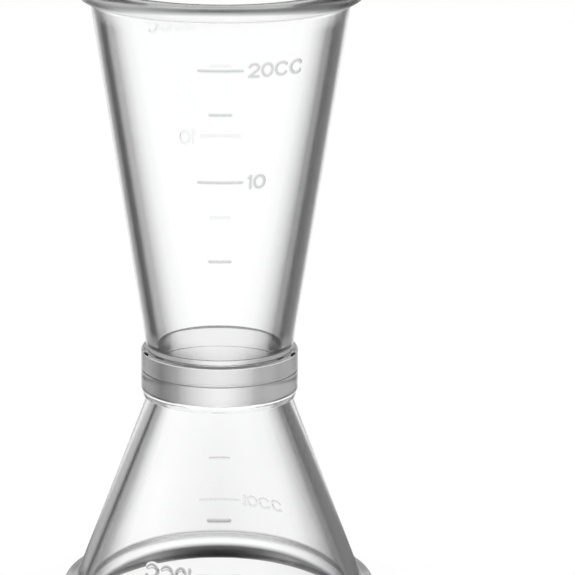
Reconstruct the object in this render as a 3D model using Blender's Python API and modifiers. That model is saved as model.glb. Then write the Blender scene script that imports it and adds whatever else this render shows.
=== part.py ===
"""Double-ended measure: a 20 cc cup and a 10 cc cup in clear plastic, bonded foot to foot at a round collar.

Each cup is a turned moulding with a bead at its rim, a solid foot that is half of the collar, and raised
graduations on two opposite sides. The 10 cc cup is turned over, so the measure stands on its rim. Lengths are in
metres and +Z is up.
"""

import math

import bmesh
import bpy
from mathutils import Matrix, Vector

# The collar. Each foot is half of it, with a flat face at the seam.
COLLAR_RADIUS = 0.0109
FLOOR_THICKNESS = 0.0032
BOND_GAP = 0.0003

# The 20 cc cup. Heights are measured from the seam. A bevel is the sloping end of the collar, past its straight foot,
# and a shoulder is how far the straight foot stands out from the wall. The bead at the rim is described from the rim
# down its outside: a round, a straight edge, a second round, and the ledge that is left between that and the wall.
UPPER_HEIGHT = 0.0545
UPPER_FOOT_HEIGHT = 0.0026
UPPER_BEVEL = 0.0003
UPPER_SHOULDER = 0.0008
UPPER_TAPER = math.radians(8.87)
UPPER_WALL_AT_FLOOR = 0.0015
UPPER_WALL_AT_RIM = 0.0012
UPPER_RIM_ROUND = 0.0010
UPPER_BEAD_EDGE = 0.0001
UPPER_BEAD_ROUND = 0.0011
UPPER_BEAD_LEDGE = 0.0008

# The 10 cc cup
LOWER_HEIGHT = 0.0345
LOWER_FOOT_HEIGHT = 0.0028
LOWER_BEVEL = 0.0010
LOWER_SHOULDER = 0.00133
LOWER_TAPER = math.radians(20.5)
LOWER_WALL_AT_FLOOR = 0.0018
LOWER_WALL_AT_RIM = 0.0018
LOWER_RIM_ROUND = 0.0014
LOWER_BEAD_EDGE = 0.0008
LOWER_BEAD_ROUND = 0.0016
LOWER_BEAD_LEDGE = 0.0003

# Small rounded edges, alike on both cups
MOUTH_ROUND = 0.0004
BEAD_FILLET = 0.0003
FLOOR_FILLET = 0.00025
BEVEL_INSET = 0.00025
SHOULDER_FILLET = 0.0001
SEAM_ROUND = 0.00012

# Graduations: height of each above the cup's floor. Numbered ones are long, those between are short.
UPPER_LONG_MARKS = (0.0263, 0.0421)
UPPER_SHORT_MARKS = (0.0149, 0.0359)
LOWER_LONG_MARKS = (0.0215,)
LOWER_SHORT_MARKS = (0.0144,)
LONG_MARK = 0.0062
SHORT_MARK = 0.0032
MARK_THICKNESS = 0.0004
MARK_RELIEF = 0.0002
MARK_ROOT = 0.0003
MARK_SIDES = (math.radians(-90), math.radians(90))

# How finely the round forms are divided
TURN_STEPS = 72
ARC_STEPS = 4
MARK_STEPS = 6
MERGE_DISTANCE = 0.00001


class Cup:
    """Sizes of one cup in its own frame, mouth up, with the seam at height zero and the axis on Z."""

    def __init__(
        self, height, foot_height, bevel, shoulder, taper, wall_at_floor, wall_at_rim,
        rim_round, bead_edge, bead_round, bead_ledge,
    ):
        self.height = height
        self.foot_height = foot_height
        self.bevel_end = foot_height + bevel
        self.base_radius = COLLAR_RADIUS - shoulder
        self.slope = math.tan(taper)
        self.floor = BOND_GAP / 2 + FLOOR_THICKNESS
        self.bore_at_floor = self.wall_radius(self.floor) - wall_at_floor / math.cos(taper)
        self.bore_at_rim = self.wall_radius(height) - wall_at_rim / math.cos(taper)
        self.rim_round = rim_round
        self.bead_round = bead_round
        self.bead_underside = height - rim_round - bead_edge - bead_round
        self.bead_radius = self.wall_radius(self.bead_underside) + bead_ledge + bead_round

    def wall_radius(self, z):
        """Radius of the outside at a height."""
        return self.base_radius + (z - self.foot_height) * self.slope


def clear_scene():
    for thing in list(bpy.data.objects):
        bpy.data.objects.remove(thing, do_unlink=True)


def new_collection(name):
    collection = bpy.data.collections.new(name)
    bpy.context.scene.collection.children.link(collection)
    return collection


def clear_plastic(name):
    material = bpy.data.materials.new(name)
    material.use_nodes = True
    shader = material.node_tree.nodes["Principled BSDF"]
    shader.inputs["Base Color"].default_value = (0.95, 0.96, 0.97, 1.0)
    shader.inputs["Roughness"].default_value = 0.04
    shader.inputs["Metallic"].default_value = 0.0
    shader.inputs["IOR"].default_value = 1.5
    shader.inputs["Transmission Weight"].default_value = 1.0
    return material


def rounded_outline(corners):
    """Points along an outline of (radius, height, round) corners, each round an arc that meets both its sides."""
    points = []
    for i, (radius, height, round_) in enumerate(corners):
        corner = Vector((radius, height))
        if round_ == 0:
            points.append(corner)
            continue
        back = (Vector(corners[i - 1][:2]) - corner).normalized()
        ahead = (Vector(corners[i + 1][:2]) - corner).normalized()
        half_angle = back.angle(ahead) / 2
        centre = corner + (back + ahead).normalized() * round_ / math.sin(half_angle)
        start = corner + back * round_ / math.tan(half_angle) - centre
        end = corner + ahead * round_ / math.tan(half_angle) - centre
        turn = math.atan2(start.cross(end), start.dot(end))
        for step in range(ARC_STEPS + 1):
            points.append(centre + Matrix.Rotation(turn * step / ARC_STEPS, 2) @ start)
    return points


def cup_outline(cup):
    """From the middle of the floor up the bore, over the bead, down the outside and along the seam to the axis."""
    return [
        (0, cup.floor, 0),
        (cup.bore_at_floor, cup.floor, FLOOR_FILLET),
        (cup.bore_at_rim, cup.height, MOUTH_ROUND),
        (cup.bead_radius, cup.height, cup.rim_round),
        (cup.bead_radius, cup.bead_underside, cup.bead_round),
        (cup.wall_radius(cup.bead_underside), cup.bead_underside, BEAD_FILLET),
        (cup.wall_radius(cup.bevel_end), cup.bevel_end, SHOULDER_FILLET),
        (COLLAR_RADIUS - BEVEL_INSET, cup.bevel_end, 0),
        (COLLAR_RADIUS, cup.foot_height, 0),
        (COLLAR_RADIUS, BOND_GAP / 2, SEAM_ROUND),
        (0, BOND_GAP / 2, 0),
    ]


def turned(name, outline, collection):
    """A solid turned about Z from an outline that runs down its outer side."""
    points = rounded_outline(outline)
    edges = [(i, i + 1) for i in range(len(points) - 1)]
    mesh = bpy.data.meshes.new(name)
    mesh.from_pydata([(p.x, 0, p.y) for p in points], edges, [])
    solid = bpy.data.objects.new(name, mesh)
    collection.objects.link(solid)
    screw = solid.modifiers.new("Turn", "SCREW")
    screw.axis = "Z"
    screw.steps = TURN_STEPS
    screw.render_steps = TURN_STEPS
    screw.use_merge_vertices = True
    screw.merge_threshold = MERGE_DISTANCE
    screw.use_smooth_shade = True
    return solid


def add_mark(bm, cup, rise, width, facing):
    """One raised bar: a small section on the wall, swept round the axis for the bar's width."""
    middle = cup.floor + rise
    low = middle - MARK_THICKNESS / 2
    high = middle + MARK_THICKNESS / 2
    section = [
        (cup.wall_radius(low) - MARK_ROOT, low),
        (cup.wall_radius(low) + MARK_RELIEF, low),
        (cup.wall_radius(high) + MARK_RELIEF, high),
        (cup.wall_radius(high) - MARK_ROOT, high),
    ]
    sweep = width / cup.wall_radius(middle)
    start = Matrix.Rotation(facing - sweep / 2, 3, "Z")
    face = bm.faces.new([bm.verts.new(start @ Vector((r, 0, z))) for r, z in section])
    bmesh.ops.spin(bm, geom=[face], cent=(0, 0, 0), axis=(0, 0, 1), angle=sweep, steps=MARK_STEPS)


def graduations(name, cup, long_marks, short_marks, collection):
    """All raised bars of a cup's two scales as one guide mesh, to be joined to the wall."""
    bm = bmesh.new()
    bars = [(rise, LONG_MARK) for rise in long_marks] + [(rise, SHORT_MARK) for rise in short_marks]
    for facing in MARK_SIDES:
        for rise, width in bars:
            add_mark(bm, cup, rise, width, facing)
    bmesh.ops.recalc_face_normals(bm, faces=bm.faces)
    mesh = bpy.data.meshes.new(name)
    bm.to_mesh(mesh)
    bm.free()
    guide = bpy.data.objects.new(name, mesh)
    guide.hide_render = True
    guide.display_type = "WIRE"
    collection.objects.link(guide)
    return guide


def make_cup(name, outline, marks, material, collection):
    """A turned cup with its graduations joined on. The marks ride with the cup."""
    cup = turned(name, outline, collection)
    cup.data.materials.append(material)
    marks.parent = cup
    union = cup.modifiers.new("Graduations", "BOOLEAN")
    union.operation = "UNION"
    union.object = marks
    return cup


clear_scene()
parts = new_collection("double_ended_measure")
guides = new_collection("graduation_guides")

seam = bpy.data.objects.new("seam", None)
seam.location.z = LOWER_HEIGHT
parts.objects.link(seam)

# The 20 cc cup
upper_size = Cup(
    height=UPPER_HEIGHT,
    foot_height=UPPER_FOOT_HEIGHT,
    bevel=UPPER_BEVEL,
    shoulder=UPPER_SHOULDER,
    taper=UPPER_TAPER,
    wall_at_floor=UPPER_WALL_AT_FLOOR,
    wall_at_rim=UPPER_WALL_AT_RIM,
    rim_round=UPPER_RIM_ROUND,
    bead_edge=UPPER_BEAD_EDGE,
    bead_round=UPPER_BEAD_ROUND,
    bead_ledge=UPPER_BEAD_LEDGE,
)
upper_cup = make_cup(
    "upper_cup",
    cup_outline(upper_size),
    graduations("upper_marks", upper_size, UPPER_LONG_MARKS, UPPER_SHORT_MARKS, guides),
    clear_plastic("clear_plastic_upper"),
    parts,
)
upper_cup.parent = seam

# The 10 cc cup, turned over
lower_size = Cup(
    height=LOWER_HEIGHT,
    foot_height=LOWER_FOOT_HEIGHT,
    bevel=LOWER_BEVEL,
    shoulder=LOWER_SHOULDER,
    taper=LOWER_TAPER,
    wall_at_floor=LOWER_WALL_AT_FLOOR,
    wall_at_rim=LOWER_WALL_AT_RIM,
    rim_round=LOWER_RIM_ROUND,
    bead_edge=LOWER_BEAD_EDGE,
    bead_round=LOWER_BEAD_ROUND,
    bead_ledge=LOWER_BEAD_LEDGE,
)
lower_cup = make_cup(
    "lower_cup",
    cup_outline(lower_size),
    graduations("lower_marks", lower_size, LOWER_LONG_MARKS, LOWER_SHORT_MARKS, guides),
    clear_plastic("clear_plastic_lower"),
    parts,
)
lower_cup.parent = seam
lower_cup.rotation_euler.x = math.pi
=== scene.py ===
# %% [markdown]
# # A clear double-ended measure
# Two clear plastic cups are bonded foot to foot: a slender one for 20 cc above and a wide one for 10 cc
# below. The imported CAD model is loaded first as a fixed frame. It says where everything is.

# %% Load the frame
import math
from dataclasses import dataclass

import bmesh
import bpy
import numpy as np
from mathutils import Matrix, Vector


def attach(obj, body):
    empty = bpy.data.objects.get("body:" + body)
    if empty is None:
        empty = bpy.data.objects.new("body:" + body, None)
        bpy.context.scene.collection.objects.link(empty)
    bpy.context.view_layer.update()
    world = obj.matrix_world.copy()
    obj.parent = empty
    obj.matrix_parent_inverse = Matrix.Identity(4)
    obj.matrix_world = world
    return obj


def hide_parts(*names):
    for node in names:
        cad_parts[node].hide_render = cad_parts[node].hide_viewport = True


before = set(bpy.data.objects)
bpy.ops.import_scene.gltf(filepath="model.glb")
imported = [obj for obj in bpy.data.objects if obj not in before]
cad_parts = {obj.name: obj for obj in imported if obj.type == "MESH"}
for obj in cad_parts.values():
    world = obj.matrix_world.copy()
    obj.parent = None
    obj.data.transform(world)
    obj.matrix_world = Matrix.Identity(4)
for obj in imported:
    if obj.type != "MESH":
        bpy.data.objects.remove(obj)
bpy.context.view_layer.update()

# %% [markdown]
# ## Sizes
# These are the driving sizes of the moulding, in metres, and most are those of the CAD source. Each
# cup is made in its own frame, mouth up, with the seam at height zero. Three things are finer here.
# The two feet overlap by a hair, so that the joint shows no gap, where the CAD keeps two separate
# solids. The bore ends in a short straight land at the mouth. The fillets under the beads are
# fuller.

# %% Sizes of the two cups
COLLAR_RADIUS = 0.0109
FLOOR = 0.00335
SEAM_OVERLAP = 0.00004
LOWER_HEIGHT = 0.0345


@dataclass
class Cup:
    """Sizes of one cup in its own frame, with the seam at height zero and its taper in degrees."""

    height: float
    foot: float
    bevel: float
    shoulder: float
    taper: float
    wall_at_floor: float
    wall_at_rim: float
    rim_round: float
    bead_edge: float
    bead_round: float
    bead_ledge: float
    bead_fillet: float
    mouth_round: float
    mouth_land: float

    def __post_init__(self):
        lean = math.radians(self.taper)
        self.slope = math.tan(lean)
        self.base_radius = COLLAR_RADIUS - self.shoulder
        self.bevel_end = self.foot + self.bevel
        self.bore_at_floor = self.wall_radius(FLOOR) - self.wall_at_floor / math.cos(lean)
        self.bore_at_rim = self.wall_radius(self.height) - self.wall_at_rim / math.cos(lean)
        self.bead_underside = self.height - self.rim_round - self.bead_edge - self.bead_round
        self.bead_radius = self.wall_radius(self.bead_underside) + self.bead_ledge + self.bead_round

    def wall_radius(self, z):
        """Radius of the outside at a height."""
        return self.base_radius + (z - self.foot) * self.slope

    def bore_radius(self, z):
        """Radius of the inside at a height, without the land."""
        share = (z - FLOOR) / (self.height - FLOOR)
        return self.bore_at_floor + share * (self.bore_at_rim - self.bore_at_floor)


upper = Cup(
    height=0.0545, foot=0.0026, bevel=0.0003, shoulder=0.0008, taper=8.87, wall_at_floor=0.0015,
    wall_at_rim=0.0012, rim_round=0.0010, bead_edge=0.0001, bead_round=0.0011, bead_ledge=0.0008,
    bead_fillet=0.0006, mouth_round=0.0004, mouth_land=0.0006)
lower = Cup(
    height=LOWER_HEIGHT, foot=0.0028, bevel=0.0010, shoulder=0.00133, taper=20.5, wall_at_floor=0.0018,
    wall_at_rim=0.0018, rim_round=0.0014, bead_edge=0.0011, bead_round=0.0014, bead_ledge=0.0005,
    bead_fillet=0.0006, mouth_round=0.0002, mouth_land=0.0021)
print("bead radii:", round(upper.bead_radius, 5), round(lower.bead_radius, 5))

# %% [markdown]
# ## The outline of a cup
# A turned piece is one outline swung round an axis. Every corner of a moulding is a little round,
# and in clear plastic those rounds matter: they bend the light most. So the outline is written as
# corners with a radius each, and a helper turns each corner into a short arc. A Bevel modifier
# could round them too, but only by one width for all. One support point on either side of an arc
# keeps the long faces truly straight.

# %% Rounded corners
ARC_STEPS = 8
SUPPORT = 0.0001
LONGEST_STEP = 0.004


def corner_arc(back, corner, ahead, radius):
    """Points of the arc that rounds one corner."""
    into = (back - corner).normalized()
    out = (ahead - corner).normalized()
    half = into.angle(out) / 2
    centre = corner + (into + out).normalized() * radius / math.sin(half)
    start = corner + into * radius / math.tan(half) - centre
    end = corner + out * radius / math.tan(half) - centre
    turn = math.atan2(start.cross(end), start.dot(end))
    steps = range(ARC_STEPS + 1)
    return [centre + Matrix.Rotation(turn * step / ARC_STEPS, 2) @ start for step in steps]


def straight(start, end):
    """Points strictly between two ends: a support beside each, and steps in the middle."""
    length = (end - start).length
    if length < 3 * SUPPORT:
        return []
    inner = np.linspace(SUPPORT, length - SUPPORT, max(2, int(length / LONGEST_STEP) + 2))
    return [start + (end - start) * (d / length) for d in inner]


def rounded_outline(corners, wall_heights):
    """Outline points of (radius, height, round) corners, and which of them lie on the outer wall.

    The corner called "wall" starts the outer wall, which takes the given heights instead of even steps.
    """
    places = [Vector(c[:2]) for c in corners]
    arcs = []
    for i, corner in enumerate(corners):
        if corner[2] == 0:
            arcs.append([places[i]])
        else:
            arcs.append(corner_arc(places[i - 1], places[i], places[i + 1], corner[2]))
    points, outside = list(arcs[0]), [0.0] * len(arcs[0])
    for i in range(len(arcs) - 1):
        top, end = arcs[i][-1], arcs[i + 1][0]
        on_wall = "wall" in corners[i]
        if on_wall:
            between_arcs = [top + (end - top) * ((top.y - z) / (top.y - end.y)) for z in wall_heights]
        else:
            between_arcs = straight(top, end)
        points += between_arcs + arcs[i + 1]
        outside += [float(on_wall)] * len(between_arcs) + [0.0] * len(arcs[i + 1])
    return points, outside


print("each rounded corner:", ARC_STEPS + 1, "points")

# %% [markdown]
# The corners run from the middle of the floor up the bore, over the bead and down the outside, past
# the shoulder of the collar to the seam face. The small rounds are alike on both cups.

# %% Corners of a cup
FLOOR_FILLET = 0.00025
LAND_ROUND = 0.0003
SHOULDER_FILLET = 0.00015
BEVEL_INSET = 0.00025
BEVEL_ROUND = 0.0001
FOOT_ROUND = 0.0002
SEAM_ROUND = 0.00014


def cup_corners(cup):
    """Corners of (radius, height, round) from the floor's middle to the middle of the seam face."""
    seam = -SEAM_OVERLAP / 2
    land_start = cup.height - cup.mouth_land
    land_radius = cup.bore_radius(land_start)
    return [
        (0, FLOOR, 0),
        (cup.bore_at_floor, FLOOR, FLOOR_FILLET),
        (land_radius, land_start, LAND_ROUND),
        (land_radius, cup.height, cup.mouth_round),
        (cup.bead_radius, cup.height, cup.rim_round),
        (cup.bead_radius, cup.bead_underside, cup.bead_round),
        (cup.wall_radius(cup.bead_underside), cup.bead_underside, cup.bead_fillet, "wall"),
        (cup.wall_radius(cup.bevel_end), cup.bevel_end, SHOULDER_FILLET),
        (COLLAR_RADIUS - BEVEL_INSET, cup.bevel_end, BEVEL_ROUND),
        (COLLAR_RADIUS, cup.foot, FOOT_ROUND),
        (COLLAR_RADIUS, seam, SEAM_ROUND),
        (0, seam, 0),
    ]


print("corners of a cup:", len(cup_corners(upper)))

# %% [markdown]
# ## Where the mesh has to be fine
# The raised scale stands out by little more than a tenth of a millimetre, so the wall needs small
# faces just where the marks are. A helper spreads positions along a line: fine inside given ranges,
# and growing step by step away from them, so that no face is suddenly much longer than its
# neighbour and the smooth shading stays even. Dividing the whole wall as finely would be simpler,
# but it would take over a million triangles.

# %% Graded spacing
GRID_POINTS = 20001
FINE_TURN, COARSE_TURN, TURN_GROWTH = 0.0063, 0.04, 0.3
SCALE_LEFT, SCALE_RIGHT = math.radians(-13.8), math.radians(40.5)
SCALE_FACINGS = (-math.pi / 2, math.pi / 2)


def graded(start, stop, fine_ranges, fine, coarse, growth):
    """Positions from start to stop, fine steps in the ranges and up to coarse ones away from them."""
    grid = np.linspace(start, stop, GRID_POINTS)
    away = np.full_like(grid, np.inf)
    for low, high in fine_ranges:
        away = np.minimum(away, np.maximum(0, np.maximum(low - grid, grid - high)))
    density = 1 / np.clip(fine + growth * away, fine, coarse)
    count = np.concatenate([[0], np.cumsum((density[1:] + density[:-1]) / 2 * np.diff(grid))])
    return np.interp(np.linspace(0, count[-1], round(count[-1]) + 1), count, grid)


def scale_columns(left, right):
    """Angles round the axis, fine where the two scales are: from left to right of each one's middle."""
    fine_ranges = [(left, right), (left + math.pi, left + math.pi)]
    half_turn = graded(left, left + math.pi, fine_ranges, FINE_TURN, COARSE_TURN, TURN_GROWTH)
    return np.concatenate([half_turn[:-1] + facing for facing in SCALE_FACINGS])


columns = scale_columns(SCALE_LEFT, SCALE_RIGHT)
print("columns round the axis:", len(columns))

# %% [markdown]
# ## Turning the outline
# The Screw modifier would turn an outline in even steps. These columns are uneven, so the mesh is
# written out directly: one ring of points for each outline point, a quad between neighbours, and a
# single point where the outline meets the axis, so that both floors close without a hole.

# %% Turned mesh
def turned(name, points, outside, angles):
    """A closed mesh turned about Z, with the outer wall marked in an attribute."""
    rings = len(points) - 2
    turns = len(angles)
    radius = np.array([p.x for p in points[1:-1]])
    height = np.array([p.y for p in points[1:-1]])
    ring = np.stack([
        np.outer(radius, np.cos(angles)),
        np.outer(radius, np.sin(angles)),
        np.repeat(height[:, None], turns, axis=1),
    ], axis=-1).reshape(-1, 3)
    verts = np.concatenate([ring, [[0, 0, points[0].y], [0, 0, points[-1].y]]])
    first_pole, last_pole = len(ring), len(ring) + 1
    around = [(a, (a + 1) % turns) for a in range(turns)]
    faces = [(first_pole, a, b) for a, b in around]
    for i in range(rings - 1):
        low, high = i * turns, (i + 1) * turns
        faces += [(low + a, high + a, high + b, low + b) for a, b in around]
    end = (rings - 1) * turns
    faces += [(last_pole, end + b, end + a) for a, b in around]
    mesh = bpy.data.meshes.new(name)
    mesh.from_pydata(verts.tolist(), [], faces)
    mesh.shade_smooth()
    mark = mesh.attributes.new("outside", "FLOAT", "POINT")
    mark.data.foreach_set("value", np.concatenate([np.repeat(outside[1:-1], turns), [0, 0]]))
    return mesh


print("turned mesh: a ring of", len(columns), "points for each outline point")

# %% [markdown]
# ## The scale
# Each cup has the same raised scale on two opposite sides: long lines with their volume in figures,
# and short lines between. A text object would bring the shapes of a font. These figures are plain
# strokes of even width, so each is written as a polyline with the middle of its line as the origin,
# and then laid on the cone of the wall.

# %% Strokes of the figures
STROKE = 0.00038
FIGURE_HEIGHT = 0.0021 - STROKE
FIGURE_SPACE = 0.00013
TWO_BOW = 0.28
TWO_ARC = (165, -35, 16)


def oval(width, start, stop, steps=28):
    """Part of an oval of unit height, from one angle to another in degrees."""
    angles = np.radians(np.linspace(start, stop, steps))
    return [(width / 2 * (1 + math.cos(a)), 0.5 + 0.5 * math.sin(a)) for a in angles]


def figure_two(width):
    angles = np.radians(np.linspace(*TWO_ARC))
    bow = [(width / 2 * (1 + math.cos(a)), 1 - TWO_BOW + TWO_BOW * math.sin(a)) for a in angles]
    return bow + [(0.0, 0.0), (width, 0.0)]


FIGURES = {
    "1": (0.14, lambda w: [(0.0, 0.84), (w, 1.0), (w, 0.0)]),
    "2": (0.74, figure_two),
    "0": (0.82, lambda w: oval(w, 90, 450)),
    "C": (1.02, lambda w: oval(w, 42, 318)),
}


def figure_strokes(text, start):
    """Polylines of a number beside its line: x along the wall, y up it."""
    strokes, x = [], start
    for letter in text:
        width, draw = FIGURES[letter]
        strokes.append([(x + px * FIGURE_HEIGHT, (py - 0.5) * FIGURE_HEIGHT) for px, py in draw(width)])
        x += width * FIGURE_HEIGHT + STROKE + FIGURE_SPACE
    return strokes


print("figures:", ", ".join(FIGURES))

# %% [markdown]
# A mark is a line, with its number to the right where it has one. All marks of a cup become one
# mesh of edges on the wall. It is only a guide: the wall is raised along it later, and then it is
# removed.

# %% Marks of the two scales
LONG_LINE, SHORT_LINE = 0.0062, 0.0032
LINE_POINTS = 25
NUMBER_GAP = 0.00057
UPPER_MARKS = [
    (0.0421, LONG_LINE, "20CC"),
    (0.0359, SHORT_LINE, ""),
    (0.0263, LONG_LINE, "10"),
    (0.0149, SHORT_LINE, ""),
]
LOWER_MARKS = [(0.0215, LONG_LINE, "10CC"), (0.0144, SHORT_LINE, "")]


def mark_strokes(length, text):
    half = (length - STROKE) / 2
    line = [(x, 0.0) for x in np.linspace(-half, half, LINE_POINTS)]
    return [line] + figure_strokes(text, LONG_LINE / 2 + NUMBER_GAP + STROKE / 2)


def scale_guide(name, cup, marks):
    """All strokes of a cup's two scales as one mesh of edges on its outer wall."""
    verts, edges = [], []
    rise = 1 / math.hypot(1, cup.slope)
    strokes = [
        (facing, FLOOR + above_floor, stroke)
        for facing in SCALE_FACINGS
        for above_floor, length, text in marks
        for stroke in mark_strokes(length, text)
    ]
    for facing, middle, stroke in strokes:
        first = len(verts)
        for x, y in stroke:
            z = middle + y * rise
            angle = facing + x / cup.wall_radius(middle)
            r = cup.wall_radius(z)
            verts.append((r * math.cos(angle), r * math.sin(angle), z))
        edges += [(i, i + 1) for i in range(first, len(verts) - 1)]
    mesh = bpy.data.meshes.new(name)
    mesh.from_pydata(verts, edges, [])
    guide = bpy.data.objects.new(name, mesh)
    bpy.context.scene.collection.objects.link(guide)
    return guide


print("marks on each side:", len(UPPER_MARKS), "on the upper cup,", len(LOWER_MARKS), "on the lower")

# %% [markdown]
# ## Writing nodes as expressions
# Node trees are easier to read as formulas. This class holds one socket of a tree. Python's
# operators on it add Math nodes, and its one other method adds any node: its settings first, then
# the values or links of its sockets.

# %% A socket that can be calculated with
class Wire:
    """An output socket in a node tree."""

    def __init__(self, tree, socket=None):
        self.tree = tree
        self.socket = socket

    def node(self, kind, settings=None, values=None, output=0):
        """Adds a node and returns one of its outputs."""
        node = self.tree.nodes.new(kind)
        for name, value in (settings or {}).items():
            if name == "stops":
                self._set_stops(node.color_ramp.elements, value)
            else:
                setattr(node, name, value)
        for name, value in (values or {}).items():
            if isinstance(name, int):
                socket = node.inputs[name]
            else:
                socket = next(s for s in node.inputs if s.name == name and s.enabled)
            if isinstance(value, Wire):
                self.tree.links.new(value.socket, socket)
            else:
                socket.default_value = value
        found = [s for s in node.outputs if s.enabled]
        if isinstance(output, str):
            return Wire(self.tree, next(s for s in found if s.name == output))
        return Wire(self.tree, found[output] if found else None)

    @staticmethod
    def _set_stops(elements, stops):
        while len(elements) < len(stops):
            elements.new(1.0)
        for element, (place, tone) in zip(elements, stops):
            element.position = place
            element.color = (tone, tone, tone, 1.0)

    def _math(self, operation, first, second):
        return self.node("ShaderNodeMath", {"operation": operation}, {0: first, 1: second})

    def __add__(self, other):
        return self._math("ADD", self, other)

    def __radd__(self, other):
        return self._math("ADD", other, self)

    def __sub__(self, other):
        return self._math("SUBTRACT", self, other)

    def __rsub__(self, other):
        return self._math("SUBTRACT", other, self)

    def __mul__(self, other):
        return self._math("MULTIPLY", self, other)

    def __rmul__(self, other):
        return self._math("MULTIPLY", other, self)

    def __truediv__(self, other):
        return self._math("DIVIDE", self, other)


print("nodes are written with + - * / from here on")

# %% [markdown]
# A few things come up again and again: a mix of two colours, a step from zero to one, an absolute
# value, a plain grey, and the empty tree that a material starts from. Each gets a short helper, so
# that the formulas that follow stay readable.

# %% Common nodes
def mix(wire, share, first, second):
    """A colour that goes from the first to the second as the share goes from zero to one."""
    return wire.node("ShaderNodeMix", {"data_type": "RGBA"}, {"Factor": share, "A": first, "B": second})


def rising(wire, value, start, end, kind="SMOOTHSTEP"):
    """Zero where the value is at start, or before it, and one from its end on."""
    return wire.node("ShaderNodeMapRange", {"interpolation_type": kind}, {
        "Value": value, "From Min": start, "From Max": end, "To Min": 0.0, "To Max": 1.0})


def absolute(wire, value):
    return wire.node("ShaderNodeMath", {"operation": "ABSOLUTE"}, {0: value})


def grey(value):
    return (value, value, value, 1.0)


def empty_material(name):
    material = bpy.data.materials.new(name)
    material.use_nodes = True
    material.node_tree.nodes.clear()
    return material, Wire(material.node_tree)


WHITE, BLACK = grey(1.0), grey(0.0)
print("common nodes:", mix.__name__, rising.__name__, absolute.__name__)

# %% [markdown]
# ## How clear plastic is drawn
# Clear plastic has almost no colour of its own. What draws its shape is where the line of sight runs
# along the wall instead of through it: there it turns dark, most of all where it just grazes the bore.
# Refraction alone would need a copy of the real room around the measure. So that dark is painted shade:
# each zone of the plastic also gets a tone in its base colour, or a short list of pairs: a turn away
# from the eye, and the share of light that passes there. The two sides of the room are not equally
# light, so the walls, the collar and the slender cup's bead have a list of painted shade for each side.
# Plastic tints what passes by the square root of its base colour, which is why the ramp holds squares.

# %% Pairs of turn and painted shade
RAMP_SPAN = 2.0


def painted_shade(wire, value, pairs):
    """The painted shade: a base colour that lets through the paired share of light at a value."""
    stops = [(v / RAMP_SPAN, passed ** 2) for v, passed in pairs]
    return wire.node("ShaderNodeValToRGB", {"stops": stops}, {"Fac": value / RAMP_SPAN})


def sided_painted_shade(wire, turn, side, lists):
    """Painted shade at a turn, blended from the left side's list to the right side's."""
    left, right = (painted_shade(wire, turn, pairs) for pairs in lists)
    share = wire.node("ShaderNodeMath", {"operation": "ADD", "use_clamp": True}, {0: side, 1: 0.5})
    return mix(wire, share, left, right)


print("ramps reach a turn of", RAMP_SPAN)

# %% [markdown]
# A Layer Weight node measures how far a face is turned away: zero where it faces the eye, one where
# it is seen edge on. It takes any direction, so the turn can also be that of the round form alone,
# without the rounding of an edge. The other values are attributes of the mesh, which are worked out
# with the cups further down.

# %% What the zones are worked out from
RIM_NARROWING = 0.002


class Surface:
    """Values that the zones share, in one material's tree."""

    def __init__(self, wire):
        self.wire = wire
        self.place = wire.node("ShaderNodeTexCoord", output="Object")
        self.outward = 1 - wire.node("ShaderNodeNewGeometry", output="Backfacing")
        self.side = self.attribute("side")
        self.plain_turn = wire.node("ShaderNodeLayerWeight", None, {"Blend": 0.5}, "Facing")
        self.round_turn = self.turn_of("MULTIPLY", self.place, (1.0, 1.0, 0.0))
        self.from_rim = self.attribute("from_rim") + self.round_turn * RIM_NARROWING

    def attribute(self, name):
        return self.wire.node("ShaderNodeAttribute", {"attribute_name": name}, output="Fac")

    def turn_of(self, operation, direction, change):
        """How far a direction is turned away, after it has been changed by a vector."""
        changed = self.wire.node(
            "ShaderNodeVectorMath", {"operation": operation}, {0: direction, 1: change})
        unit = self.wire.node("ShaderNodeVectorMath", {"operation": "NORMALIZE"}, {0: changed})
        return self.wire.node("ShaderNodeLayerWeight", None, {"Blend": 0.5, "Normal": unit}, "Facing")

    def lifted_turn(self, lift):
        """How far the face is turned away, with its normal raised by a lift first."""
        normal = self.wire.node("ShaderNodeNewGeometry", output="Normal")
        return self.turn_of("ADD", normal, (0.0, 0.0, lift))


print("the band at the mouth narrows towards its ends by up to", RIM_NARROWING, "m")
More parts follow.
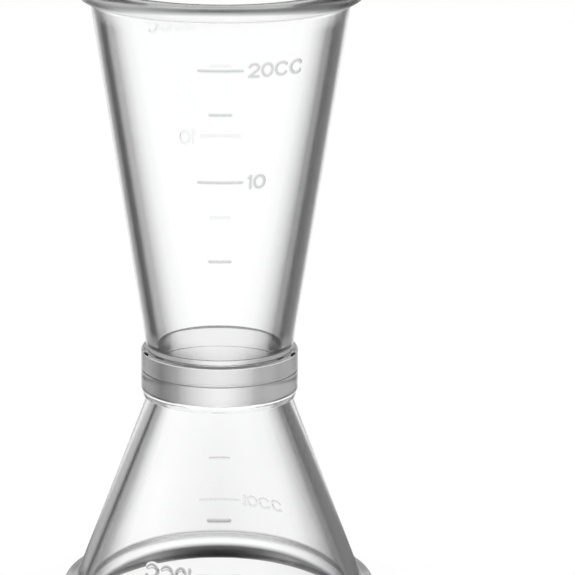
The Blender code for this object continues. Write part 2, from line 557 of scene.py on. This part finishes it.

# %% [markdown]
# ## Walls
# Seen from the side, each wall is a dark band with a darker line in it, where the eye grazes the bore,
# and this band is painted shade in the base colour. Its turn is divided by the turn of that line, so
# that one list fits every height. On the slender cup the band keeps its width while the cup narrows, so
# a second attribute widens it towards the floor. The near wall is dimmed with painted shade where the
# line of sight goes in. The back of the wide cup also gets a little grey painted shade where it comes
# out again, more so towards the rim. A painted picture could hold these tones too, but it would be true
# for one view only, and these bands move with the eye.

# %% Walls
UPPER_WALL = (
    [(0.34, 1.0), (0.48, 0.91), (0.58, 0.76), (0.71, 0.48), (0.82, 0.42),
     (0.91, 0.14), (1.04, 0.09), (1.13, 0.25), (1.27, 0.51), (1.43, 0.96)],
    [(0.28, 1.0), (0.40, 0.94), (0.60, 0.60), (0.69, 0.35), (0.77, 0.31),
     (0.86, 0.14), (0.95, 0.15), (1.16, 0.21), (1.29, 0.45), (1.45, 0.96)],
)
LOWER_WALL = (
    [(0.30, 1.0), (0.64, 0.98), (0.80, 0.81), (0.96, 0.50), (1.04, 0.42), (1.12, 0.39),
     (1.22, 0.15), (1.28, 0.13), (1.40, 0.46), (1.66, 0.60), (1.82, 0.98)],
    [(0.10, 1.0), (0.22, 0.97), (0.40, 0.93), (0.55, 0.86), (0.66, 0.74), (0.82, 0.57), (0.92, 0.44),
     (1.00, 0.30), (1.09, 0.26), (1.20, 0.17), (1.42, 0.20), (1.60, 0.22), (1.70, 0.29), (1.78, 0.47),
     (1.90, 1.0)],
)
BACK_WALL = [(0.0, 0.86), (0.15, 0.88), (0.30, 0.91), (0.45, 0.95), (0.6, 1.0)]
BACK_AT_RIM, BACK_FADE = 1.26, 31.0


def wall_zone(surface, lift, lists):
    """Painted shade on the cone of the wall. The lift makes its turn read the same on either cup."""
    in_proportion = surface.lifted_turn(lift) / surface.attribute("grazing")
    wall_turn = in_proportion + surface.attribute("edge_width") * (1 - in_proportion)
    tone = sided_painted_shade(surface.wire, wall_turn, surface.side, lists)
    return surface.outward * surface.attribute("outside"), tone


def back_wall_zone(surface):
    """Painted grey shade on the far wall, where the line of sight comes out of it."""
    depth = BACK_AT_RIM - BACK_FADE * surface.from_rim
    tone = painted_shade(surface.wire, absolute(surface.wire, surface.side), BACK_WALL)
    return (1 - surface.outward) * surface.attribute("outside") * depth, tone


print("pairs for a wall:", [len(pairs) for pairs in UPPER_WALL + LOWER_WALL])

# %% [markdown]
# ## Collar and beads
# The collar is a thick disc with painted shade, darker on the left, because the room's light differs
# between the sides. The two halves differ a little, so each has its own lists. A bead is clear next to
# the wall and has a painted dark line of shade near the rim, and the line moves towards the wall as the
# bead turns away. Towards its ends the bead gets greyer painted shade, and on the slender cup the two
# ends differ. A finer mesh would not give these tones, because they come from the room, so they are set
# by lists as well.

# %% Collar and beads
UPPER_COLLAR = (
    [(0.03, 0.82), (0.07, 0.74), (0.14, 0.54), (0.19, 0.38), (0.27, 0.29), (0.36, 0.21), (0.50, 0.33),
     (0.80, 0.52)],
    [(0.03, 0.82), (0.07, 0.70), (0.14, 0.48), (0.19, 0.42), (0.27, 0.42), (0.36, 0.37), (0.50, 0.40),
     (0.80, 0.45)],
)
LOWER_COLLAR = (
    [(0.03, 0.94), (0.07, 0.78), (0.14, 0.54), (0.19, 0.36), (0.27, 0.27), (0.36, 0.21), (0.50, 0.33),
     (0.80, 0.52)],
    [(0.03, 0.94), (0.07, 0.72), (0.14, 0.47), (0.19, 0.42), (0.27, 0.46), (0.36, 0.44), (0.50, 0.46),
     (0.80, 0.50)],
)
BEAD = [(0.45, 1.0), (0.58, 0.6), (0.72, 0.24), (0.81, 0.05), (0.88, 0.05), (0.95, 0.4), (1.0, 0.7),
        (1.12, 0.6), (1.4, 0.5)]
BEAD_SIDES = (
    [(0.45, 1.0), (0.58, 0.65), (0.72, 0.42), (0.85, 0.38), (1.0, 0.6), (1.2, 1.0)],
    [(0.45, 1.0), (0.58, 0.55), (0.72, 0.28), (0.85, 0.19), (1.0, 0.22), (1.15, 0.5)],
)
BEAD_DRIFT, BEAD_SHIFT = 1.1, 0.04
BEAD_ENDS_SHADE, ENDS_SHARE = grey(0.4), 0.5
SIDES_START, SIDES_GROWTH = 0.12, 2.4


# Painted shade on the collar, from a list for each side.
def collar_zone(surface, lists):
    tone = sided_painted_shade(surface.wire, surface.plain_turn, surface.side, lists)
    return surface.outward * surface.attribute("collar"), tone


def bead_zone(surface, sided):
    """Painted shade on the bead at the rim, with lists for its two ends if it is sided."""
    wire = surface.wire
    height = surface.attribute("bead_height") + surface.round_turn * BEAD_DRIFT - BEAD_SHIFT
    tone = mix(wire, surface.round_turn * ENDS_SHARE, painted_shade(wire, height, BEAD), BEAD_ENDS_SHADE)
    if sided:
        share = (absolute(wire, surface.side) - SIDES_START) * SIDES_GROWTH
        tone = mix(wire, share, tone, sided_painted_shade(wire, height, surface.side, BEAD_SIDES))
    return surface.outward * surface.attribute("bead"), tone


print("pairs for a bead:", len(BEAD))

# %% [markdown]
# ## Mouth of the wide cup
# The wide cup stands on its rim, and its bore ends in a straight band. That band shows as a dark
# crescent, nearly black in the middle, which is painted shade here. The fillet of the bead beside it
# shows through as a grey arc, also painted shade. Both could be left to refraction, but they are so
# narrow that a small change of the room would change them. A painted tone that follows the distance
# from the rim is steady.

# %% Mouth of the wide cup
BRIM = [(0.05, 0.0), (0.07, 0.05), (0.10, 0.11), (0.19, 0.34), (0.25, 0.28), (0.6, 0.5)]
BRIM_EDGE = (0.0028, 0.0019)
BRIM_DEPTH = (0.0024, 0.0013)
BRIM_START_SHADE = grey(0.02)
FILLET_SHADE = grey(0.33)


def mouth_zones(surface):
    """Painted shade on the band inside the mouth, and on the bead's fillet where the line of sight
    comes out.
    """
    wire = surface.wire
    near_rim = rising(wire, surface.from_rim, *BRIM_EDGE)
    deep = rising(wire, surface.from_rim, *BRIM_DEPTH, kind="LINEAR")
    tone = mix(wire, deep, BRIM_START_SHADE, painted_shade(wire, surface.plain_turn, BRIM))
    return [
        (surface.outward * near_rim * surface.attribute("bore"), tone),
        ((1 - surface.outward) * surface.attribute("fillet"), FILLET_SHADE),
    ]


print("the band at the mouth fades out between these distances from the rim:", BRIM_EDGE)

# %% [markdown]
# ## Foot and floor of the slender cup
# The floor of the slender cup shows as a pale grey disc with a thin dark edge, and both greys are
# painted shade. A dark line of painted shade also runs along the upper edge of the collar and fades to
# its ends, and the foot of the wall above it gets greyer painted shade towards its sides. Thin rings of
# their own could stand for these lines. Tones by attribute keep the moulding in one piece.

# %% Foot and floor of the slender cup
WALL_FOOT_SHADE = [(0.03, 0.93), (0.07, 0.75), (0.12, 0.5), (0.2, 0.38), (0.5, 0.38)]
CUP_FLOOR_SHADE = (0.70, 0.70, 0.71, 1.0)
EDGE_SHADE = grey(0.2)
EDGE_FADE = 1.6


# Painted shade on the foot of the wall, greyer towards its sides.
def wall_foot_zone(surface):
    tone = painted_shade(surface.wire, surface.round_turn, WALL_FOOT_SHADE)
    return surface.outward * surface.attribute("wall_foot"), tone


def floor_zones(surface):
    """Painted shade on the floor, its edge, and the upper edge of the collar, which fades to its ends.
    """
    fading = 1 - surface.round_turn * EDGE_FADE
    return [
        (surface.outward * surface.attribute("floor"), CUP_FLOOR_SHADE),
        (surface.outward * surface.attribute("floor_edge"), EDGE_SHADE),
        (surface.outward * surface.attribute("foot_edge") * fading, EDGE_SHADE),
    ]


print("tone of the floor:", CUP_FLOOR_SHADE[:3])

# %% [markdown]
# ## The material
# Each cup has its own plastic, made of the zones of painted shade above. The beads and the collar are
# moulded a little softer than the walls, so they are rougher, and so are the raised marks. The floor of
# the slender cup is nearly matt. Faint waves from the mould and fine rubbing marks keep the gloss from
# being perfect. An alpha below one lets a share of the light straight through without bending it: at
# the floors, at the top of the slender cup's rim, and wholly at the seam, because cement as clear as
# the plastic joins the feet and only the line round the collar stays.

# %% How rough and how open the plastic is
RUBBING, RUBBING_SCALE, RUBBING_STRETCH = 0.05, 5200.0, 0.08
BEAD_ROUGHNESS, COLLAR_ROUGHNESS, MARK_ROUGHNESS = 0.3, 0.15, 0.2
RIM_PASSING, RIM_END_PASSING = 0.35, 0.6
WAVE_SCALE, WAVE_STRENGTH, WAVE_HEIGHT = 160.0, 0.12, 0.00004


@dataclass
class Finish:
    """How one cup's plastic differs from the other's. The lift is added to the wall's normal. The wall
    and collar lists and the greys of the marks are painted shade.
    """

    lift: float
    wall: tuple
    collar: tuple
    marks: tuple
    floor_roughness: float
    floor_passing: float
    mouth_down: bool


def roughness(surface, finish):
    stretch = {"Vector": surface.place, "Scale": (1.0, 1.0, RUBBING_STRETCH)}
    grain = {"Vector": surface.wire.node("ShaderNodeMapping", None, stretch)}
    grain.update({"Scale": RUBBING_SCALE, "Detail": 2.0, "Roughness": 0.6})
    rubbing = surface.wire.node("ShaderNodeTexNoise", None, grain, "Fac")
    softer = surface.attribute("bead") * BEAD_ROUGHNESS + surface.attribute("collar") * COLLAR_ROUGHNESS
    frosted = surface.attribute("floor") * finish.floor_roughness
    return rubbing * rubbing * RUBBING + softer + surface.attribute("raised") * MARK_ROUGHNESS + frosted


def alpha(surface, finish):
    passing = surface.attribute("floor") * finish.floor_passing
    if not finish.mouth_down:
        rim = surface.round_turn * RIM_END_PASSING + RIM_PASSING
        passing = passing + surface.attribute("rim_top") * rim
    return 1 - passing * surface.outward - surface.attribute("seam")


def mould_waves(surface):
    """Normals with the faint waves of a moulded surface."""
    noise = {"Vector": surface.place, "Scale": WAVE_SCALE, "Detail": 1.0}
    waves = surface.wire.node("ShaderNodeTexNoise", None, noise, "Fac")
    bump = {"Strength": WAVE_STRENGTH, "Distance": WAVE_HEIGHT, "Height": waves}
    return surface.wire.node("ShaderNodeBump", None, bump)


print("roughness of beads, collar and marks:", BEAD_ROUGHNESS, COLLAR_ROUGHNESS, MARK_ROUGHNESS)

# %% [markdown]
# The zones of painted shade are laid over the plain plastic one after another, and a later one covers
# an earlier one. The raised marks are clear plastic too, and their grey is painted shade: a mark has
# its full tone where the line of sight goes in and a quarter of it where it comes out, so that the
# scale on the far side shows faintly through the cup.

# %% Clear plastic
PLASTIC_IOR = 1.5
PLAIN = (0.995, 0.998, 1.0, 1.0)
SPECULAR = grey(0.15)
MARK_IN, MARK_OUT = 1.0, 0.25


def zones_in_order(surface, finish):
    """Pairs of where a zone is and its base colour of painted shade."""
    zones = [
        wall_zone(surface, finish.lift, finish.wall),
        collar_zone(surface, finish.collar),
        bead_zone(surface, not finish.mouth_down),
    ]
    marked = surface.attribute("raised") * (surface.outward * (MARK_IN - MARK_OUT) + MARK_OUT)
    marks = [(marked, finish.marks)]
    if finish.mouth_down:
        return [back_wall_zone(surface)] + zones + mouth_zones(surface) + marks
    return zones + [wall_foot_zone(surface)] + marks + floor_zones(surface)


def clear_plastic(name, finish):
    material, wire = empty_material(name)
    surface = Surface(wire)
    colour = PLAIN
    for share, tone in zones_in_order(surface, finish):
        colour = mix(wire, share, colour, tone)
    shader = wire.node("ShaderNodeBsdfPrincipled", None, {
        "Base Color": colour,
        "Roughness": roughness(surface, finish),
        "IOR": PLASTIC_IOR,
        "Specular Tint": SPECULAR,
        "Transmission Weight": 1.0,
        "Alpha": alpha(surface, finish),
        "Normal": mould_waves(surface),
    })
    wire.node("ShaderNodeOutputMaterial", None, {"Surface": shader})
    return material


# The greys of the marks are painted shade on clear raised marks.
upper_plastic = clear_plastic("clear_plastic_upper", Finish(
    lift=0.523, wall=UPPER_WALL, collar=UPPER_COLLAR, marks=(0.46, 0.46, 0.47, 1.0),
    floor_roughness=0.9, floor_passing=0.75, mouth_down=False))
lower_plastic = clear_plastic("clear_plastic_lower", Finish(
    lift=0.0, wall=LOWER_WALL, collar=LOWER_COLLAR, marks=(0.31, 0.31, 0.32, 1.0),
    floor_roughness=0.08, floor_passing=0.65, mouth_down=True))
print("materials:", upper_plastic.name, lower_plastic.name)

# %% [markdown]
# ## Raising the scale with Geometry Nodes
# The marks follow the surface of the wall, so a node tree raises them: it measures how far each
# point of the wall is from the nearest stroke, turns that into a soft-edged height, and moves the
# point out along its normal. Bars laid on the wall would be simpler, but this way wall and marks
# stay one closed skin, as in the real moulding, and light passes through without meeting hidden
# faces.

# %% The node tree that raises the scale
SCALE_INPUTS = {
    "Wall": "NodeSocketGeometry",
    "Strokes": "NodeSocketObject",
    "Stroke Width": "NodeSocketFloat",
    "Edge": "NodeSocketFloat",
    "Relief": "NodeSocketFloat",
    "Plastic": "NodeSocketMaterial",
}


def raised_scale_tree():
    tree = bpy.data.node_groups.new("raised_scale", "GeometryNodeTree")
    for name, kind in SCALE_INPUTS.items():
        tree.interface.new_socket(name, in_out="INPUT", socket_type=kind)
    tree.interface.new_socket("Wall", in_out="OUTPUT", socket_type="NodeSocketGeometry")
    wire = Wire(tree)
    group = tree.nodes.new("NodeGroupInput")
    given = {s.name: Wire(tree, s) for s in group.outputs if s.name}
    strokes = wire.node("GeometryNodeObjectInfo", None, {"Object": given["Strokes"]}, "Geometry")
    distance = wire.node(
        "GeometryNodeProximity", {"target_element": "EDGES"}, {"Geometry": strokes}, "Distance")
    half = given["Stroke Width"] * 0.5
    soft = given["Edge"] * 0.5
    outer = wire.node("GeometryNodeInputNamedAttribute", {"data_type": "FLOAT"}, {"Name": "outside"})
    raised = rising(wire, distance, half + soft, half - soft) * outer
    normal = wire.node("GeometryNodeInputNormal")
    offset = wire.node(
        "ShaderNodeVectorMath", {"operation": "SCALE"}, {0: normal, "Scale": raised * given["Relief"]})
    noted = wire.node("GeometryNodeStoreNamedAttribute", {"data_type": "FLOAT", "domain": "POINT"}, {
        "Geometry": given["Wall"], "Name": "raised", "Value": raised})
    moved = wire.node("GeometryNodeSetPosition", None, {"Geometry": noted, "Offset": offset})
    real = wire.node("GeometryNodeRealizeInstances", None, {"Geometry": moved})
    painted = wire.node(
        "GeometryNodeSetMaterial", None, {"Geometry": real, "Material": given["Plastic"]})
    end = tree.nodes.new("NodeGroupOutput")
    tree.links.new(painted.socket, end.inputs[0])
    return tree


raised_scale = raised_scale_tree()
print("node tree:", raised_scale.name, len(raised_scale.nodes), "nodes")

# %% [markdown]
# ## Attributes for the plastic
# The plastic has to know which part of the moulding a point belongs to. Painting that by hand would
# have to be done again after every change of a size. Here each zone is worked out from the height
# and the radius of a point and stored as an attribute. One of them is the turn at which a line of
# sight from fifteen degrees above grazes the bore at that height.

# %% Zones of a cup
VIEW_LEAN = math.radians(15)
NORMAL_LEAN = math.radians(20.5)
THINNEST, THICKEST = 0.99, 0.5
HAIR = 0.0001
BEAD_START = (-0.0012, -0.0002)
FILLET_START, FILLET_END = (-0.0008, -0.0004), (0.0011, 0.0005)
RIM_START = (-0.0005, -HAIR)
WALL_FOOT_END = (0.0013, 0.0009)
LEDGE_START, LEDGE_WIDTH = (-HAIR / 2, HAIR), 0.0002
FLOOR_EDGE_START, FLOOR_EDGE_END = (-0.0003, -HAIR), (0.0003, 0.0002)
FLOOR_FLATNESS = 0.00003


def grazing_turn(cup, z):
    """Layer Weight's facing where the line of sight just grazes the bore."""
    share = np.clip(np.array([cup.bore_radius(h) / cup.wall_radius(h) for h in z]), THICKEST, THINNEST)
    level = math.cos(VIEW_LEAN) * math.cos(NORMAL_LEAN) * np.sqrt(1 - share ** 2)
    return 1 - (level + math.sin(VIEW_LEAN) * math.sin(NORMAL_LEAN))


def climb(values, zero, one):
    """Goes evenly from zero at one value to one at another, which may be the lower of the two."""
    return np.clip((values - zero) / (one - zero), 0, 1)


def near(values, place, zero, one):
    """The same between two distances from a place. A distance before it is negative."""
    return climb(values, place + zero, place + one)


def zones_of(cup, mesh, edge_widths):
    """Attributes for the plastic, by the height and the radius of each point."""
    flat = np.empty(len(mesh.vertices) * 3)
    mesh.vertices.foreach_get("co", flat)
    x, y, z = flat.reshape(-1, 3).T
    r = np.hypot(x, y)
    wall = np.array([cup.wall_radius(h) for h in z])
    bore = np.array([cup.bore_radius(h) for h in z])
    outer = r > (wall + bore) / 2
    at_floor, at_rim = edge_widths
    under = cup.bead_underside
    on_fillet = near(z, under, *FILLET_START) * near(z, under, *FILLET_END)
    past_foot = climb(z, cup.foot, cup.bevel_end) * near(z, cup.bevel_end, *WALL_FOOT_END)
    on_ledge = near(z, cup.foot, *LEDGE_START) * (z < cup.bevel_end + HAIR)
    on_floor_edge = near(r, cup.bore_at_floor, *FLOOR_EDGE_START) * near(z, FLOOR, *FLOOR_EDGE_END)
    on_floor = (r < cup.bore_at_floor + HAIR / 2) * (np.abs(z - FLOOR) < FLOOR_FLATNESS)
    return {
        "grazing": grazing_turn(cup, z),
        "edge_width": at_floor + (at_rim - at_floor) * climb(z, FLOOR, cup.height),
        "side": x / np.maximum(r, HAIR),
        "collar": (r > COLLAR_RADIUS - HAIR) * near(z, cup.foot, 0, -HAIR),
        "bead": near(z, under, *BEAD_START) * outer,
        "bead_height": climb(z, under, cup.height),
        "bore": ~outer * 1.0,
        "from_rim": cup.height - z,
        "wall_foot": past_foot * outer,
        "fillet": on_fillet * outer,
        "rim_top": near(z, cup.height, *RIM_START),
        "foot_edge": on_ledge * (r > wall + LEDGE_WIDTH),
        "seam": (z < HAIR / 10) * (r < COLLAR_RADIUS - HAIR) * 1.0,
        "floor_edge": on_floor_edge * ~outer,
        "floor": on_floor * 1.0,
    }


print("the view grazes the bore at mid height at a turn of", [
    round(float(grazing_turn(cup, [cup.height / 2])[0]), 3) for cup in (upper, lower)])

# %% [markdown]
# ## Making a cup
# A cup is the turned mesh with its attributes and with its scale raised. The modifier could be
# applied with an operator, but that depends on what is selected, so the finished mesh is taken from
# the evaluated object. It is moved into place, and for the lower cup turned over, so that the
# object itself stays at the origin.

# %% Cups
RELIEF = 0.00013
RELIEF_EDGE = 0.0003
NUMBER_BAND, LINE_BAND = 0.0012, 0.0004
FINE_ROW, COARSE_ROW, ROW_GROWTH = 0.000105, 0.003, 0.45
ROWS_START, ROWS_STOP = 0.0003, 0.0008
UPPER_EDGE_WIDTHS, LOWER_EDGE_WIDTHS = (0.33, -0.20), (-0.02, 0.06)


def wall_rows(cup, marks):
    """Heights of the wall's rows from the bead down, fine where the marks are."""
    bands = []
    for above_floor, _, text in marks:
        half = NUMBER_BAND if text else LINE_BAND
        bands.append((FLOOR + above_floor - half, FLOOR + above_floor + half))
    low, high = cup.bevel_end + ROWS_START, cup.bead_underside - ROWS_STOP
    return graded(low, high, bands, FINE_ROW, COARSE_ROW, ROW_GROWTH)[::-1]


def with_scale(name, cup, mesh, marks, material):
    """A plain mesh of the cup with its scale raised."""
    rough = bpy.data.objects.new(name + "_plain", mesh)
    bpy.context.scene.collection.objects.link(rough)
    guide = scale_guide(name + "_strokes", cup, marks)
    raiser = rough.modifiers.new("Scale", "NODES")
    raiser.node_group = raised_scale
    sizes = {
        "Strokes": guide,
        "Stroke Width": STROKE,
        "Edge": RELIEF_EDGE,
        "Relief": RELIEF,
        "Plastic": material,
    }
    for item in raised_scale.interface.items_tree:
        if item.in_out == "INPUT" and item.name in sizes:
            raiser[item.identifier] = sizes[item.name]
    graph = bpy.context.evaluated_depsgraph_get()
    final = bpy.data.meshes.new_from_object(
        rough.evaluated_get(graph), preserve_all_data_layers=True, depsgraph=graph)
    rough.modifiers.remove(raiser)
    bpy.data.objects.remove(rough)
    bpy.data.objects.remove(guide)
    return final


def make_cup(name, cup, marks, material, edge_widths, place):
    """A finished cup. The edge widths widen the painted dark shade at the edge of its wall, at the
    floor and at the rim.
    """
    points, outside = rounded_outline(cup_corners(cup), wall_rows(cup, marks))
    mesh = turned(name, points, outside, columns)
    for label, values in zones_of(cup, mesh, edge_widths).items():
        mesh.attributes.new(label, "FLOAT", "POINT").data.foreach_set("value", values)
    final = with_scale(name, cup, mesh, marks, material)
    final.name = name
    final.transform(place)
    piece = bpy.data.objects.new(name, final)
    bpy.context.scene.collection.objects.link(piece)
    triangles = sum(len(p.vertices) - 2 for p in final.polygons)
    print(name, "outline points:", len(points), "triangles:", triangles)
    return piece


at_seam = Matrix.Translation((0, 0, LOWER_HEIGHT))
turned_over = at_seam @ Matrix.Rotation(math.pi, 4, "X")
upper_piece = make_cup(
    "clear_upper_cup", upper, UPPER_MARKS, upper_plastic, UPPER_EDGE_WIDTHS, at_seam)
lower_piece = make_cup(
    "clear_lower_cup", lower, LOWER_MARKS, lower_plastic, LOWER_EDGE_WIDTHS, turned_over)

# %% [markdown]
# ## Each piece and the frame
# Both cups ride on the one rigid body of the frame and stand for their CAD solids, which are then
# hidden.

# %% Ride and replace
for piece, node, slot in (
    (upper_piece, "upper_cup", "clear_plastic_upper"),
    (lower_piece, "lower_cup", "clear_plastic_lower"),
):
    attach(piece, "root")
    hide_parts(node)
print("pieces:", upper_piece.name, lower_piece.name)

# %% [markdown]
# ## What clear plastic sees
# A clear thing shows its surroundings, so they are made for the kind of ray that meets them. A
# Light Path node tells the kinds apart. Rays that a gloss throws to either side, and not back
# towards the front, meet a nearly black flag there, as in a studio. It keeps the sides of the beads
# and the collar from washing out.

# %% Kinds of rays
DARK_FLAG = 0.12
FLAG_ACROSS = (0.35, 0.6)
FLAG_ALONG = (-0.6, 0.0)


def is_ray(wire, kind):
    return wire.node("ShaderNodeLightPath", output="Is " + kind + " Ray")


def seen_rays(wire):
    """One for rays from the camera and those that a gloss or a clear surface sends on."""
    largest = {"operation": "MAXIMUM"}
    sent_on = wire.node(
        "ShaderNodeMath", largest, {0: is_ray(wire, "Glossy"), 1: is_ray(wire, "Transmission")})
    return wire.node("ShaderNodeMath", largest, {0: is_ray(wire, "Camera"), 1: sent_on})


def dark_flag(wire, direction, tone):
    """A tone for rays through plastic, and darker for rays that a gloss throws to either side."""
    across = wire.node("ShaderNodeSeparateXYZ", None, {"Vector": direction}, "X")
    along = wire.node("ShaderNodeSeparateXYZ", None, {"Vector": direction}, "Y")
    off_axis = rising(wire, absolute(wire, across), *FLAG_ACROSS)
    past_front = rising(wire, along, *FLAG_ALONG)
    dimmed = mix(wire, off_axis * past_front * (1 - DARK_FLAG), tone, BLACK)
    return mix(wire, is_ray(wire, "Transmission"), dimmed, tone)


print("dark flags keep", DARK_FLAG, "of the light")

# %% [markdown]
# ## Floor
# The floor is pale and looks white to the camera and through the plastic, but a part of it is still
# lit by the lamp, so that the measure has a soft shadow. Where plastic bends the view steeply down
# on it, it is a little darker.

# %% Floor
FLOOR_SIZE = 6.0
FLOOR_SIDES = 96
FLOOR_PAINT = grey(0.9)
SELF_LIT = 0.88
STEEP_TONES = [(0.40, 0.85), (0.60, 1.0)]


def floor_material():
    material, wire = empty_material("pale_floor")
    lit = wire.node("ShaderNodeBsdfDiffuse", None, {"Color": FLOOR_PAINT})
    level = wire.node("ShaderNodeLayerWeight", None, {"Blend": 0.5}, "Facing")
    steep = wire.node("ShaderNodeValToRGB", {"stops": STEEP_TONES}, {"Fac": level})
    place = wire.node("ShaderNodeTexCoord", output="Object")
    outwards = wire.node("ShaderNodeVectorMath", {"operation": "NORMALIZE"}, {0: place})
    shade = mix(wire, is_ray(wire, "Camera"), dark_flag(wire, outwards, steep), WHITE)
    glow = wire.node("ShaderNodeEmission", None, {"Color": shade, "Strength": 1.0})
    both = wire.node("ShaderNodeMixShader", None, {"Fac": seen_rays(wire) * SELF_LIT, 1: lit, 2: glow})
    wire.node("ShaderNodeOutputMaterial", None, {"Surface": both})
    return material


bm = bmesh.new()
bmesh.ops.create_circle(bm, cap_ends=True, segments=FLOOR_SIDES, radius=FLOOR_SIZE / 2)
floor_mesh = bpy.data.meshes.new("floor")
bm.to_mesh(floor_mesh)
bm.free()
floor_mesh.materials.append(floor_material())
floor = bpy.data.objects.new("floor", floor_mesh)
bpy.context.scene.collection.objects.link(floor)
print("floor:", FLOOR_SIZE, "m across")

# %% [markdown]
# ## Surroundings
# Clear things need something dark to show against. High above the horizon the surroundings are dark
# grey for rays that have passed through plastic or come off its gloss. For the camera they are
# white, and other rays get an even fill. A picture of a studio could stand here, but a few nodes
# are enough and can be set exactly.

# %% World
DARK_ABOVE = 0.3
FILL = grey(0.55)
SKY_TONES = [(0.0, 1.0), (0.36, 1.0), (0.52, DARK_ABOVE), (1.0, DARK_ABOVE)]

world = bpy.data.worlds.new("surroundings")
bpy.context.scene.world = world
world.use_nodes = True
world.node_tree.nodes.clear()
sky = Wire(world.node_tree)
direction = sky.node("ShaderNodeTexCoord", output="Generated")
up = sky.node("ShaderNodeSeparateXYZ", None, {"Vector": direction}, "Z")
seen_sky = sky.node("ShaderNodeValToRGB", {"stops": SKY_TONES}, {"Fac": up})
other = mix(sky, seen_rays(sky), FILL, dark_flag(sky, direction, seen_sky))
shown = mix(sky, is_ray(sky, "Camera"), other, WHITE)
background = sky.node("ShaderNodeBackground", None, {"Color": shown, "Strength": 1.0})
sky.node("ShaderNodeOutputWorld", None, {"Surface": background})
print("surroundings above the horizon:", DARK_ABOVE)

# %% [markdown]
# ## Lamp
# One large softbox hangs straight above and is aimed at the origin. It lights the floor and lays a
# highlight on the beads and the collar. A small lamp would give a hard shadow.

# %% Lamp
LAMP_HEIGHT = 1.0
LAMP_SIZE = 0.6
LAMP_POWER = 8.0

lamp = bpy.data.lights.new("overhead_softbox", "AREA")
lamp.shape = "SQUARE"
lamp.size = LAMP_SIZE
lamp.energy = LAMP_POWER
softbox = bpy.data.objects.new("overhead_softbox", lamp)
softbox.location = (0.0, 0.0, LAMP_HEIGHT)
softbox.rotation_euler = (-softbox.location).to_track_quat("-Z", "Y").to_euler()
softbox.visible_camera = False
bpy.context.scene.collection.objects.link(softbox)
print("lamp:", softbox.name, lamp.energy, "W")

# %% [markdown]
# ## Camera
# A long lens looks down about fifteen degrees. It could be set by eye, but then a long lens far
# away is hard to tell from a short one near by. Its place and turn were found by fitting the rims,
# the collar and the graduations, so the cups meet the frame's edges as they do in the photograph.

# %% Camera
PIXELS = 575
FOCAL_PIXELS = 4168.7
SENSOR_WIDTH = 36.0
CAMERA_PLACE = (0.0, -0.55713, LOWER_HEIGHT + 0.16075)
YAW, PITCH, ROLL = 0.0168, 0.2620, 0.0075

lens = bpy.data.cameras.new("camera")
lens.sensor_width = SENSOR_WIDTH
lens.lens = FOCAL_PIXELS * SENSOR_WIDTH / PIXELS
lens.clip_start = 0.01
lens.clip_end = 20.0
camera = bpy.data.objects.new("camera", lens)
bpy.context.scene.collection.objects.link(camera)
heading = Matrix.Rotation(-YAW, 4, "Z") @ Matrix.Rotation(math.pi / 2 - PITCH, 4, "X")
camera.matrix_world = Matrix.Translation(CAMERA_PLACE) @ heading @ Matrix.Rotation(ROLL, 4, "Z")
bpy.context.scene.camera = camera
print("lens:", round(lens.lens, 1), "mm")

# %% View settings and size
bpy.context.scene.view_settings.view_transform = "Standard"
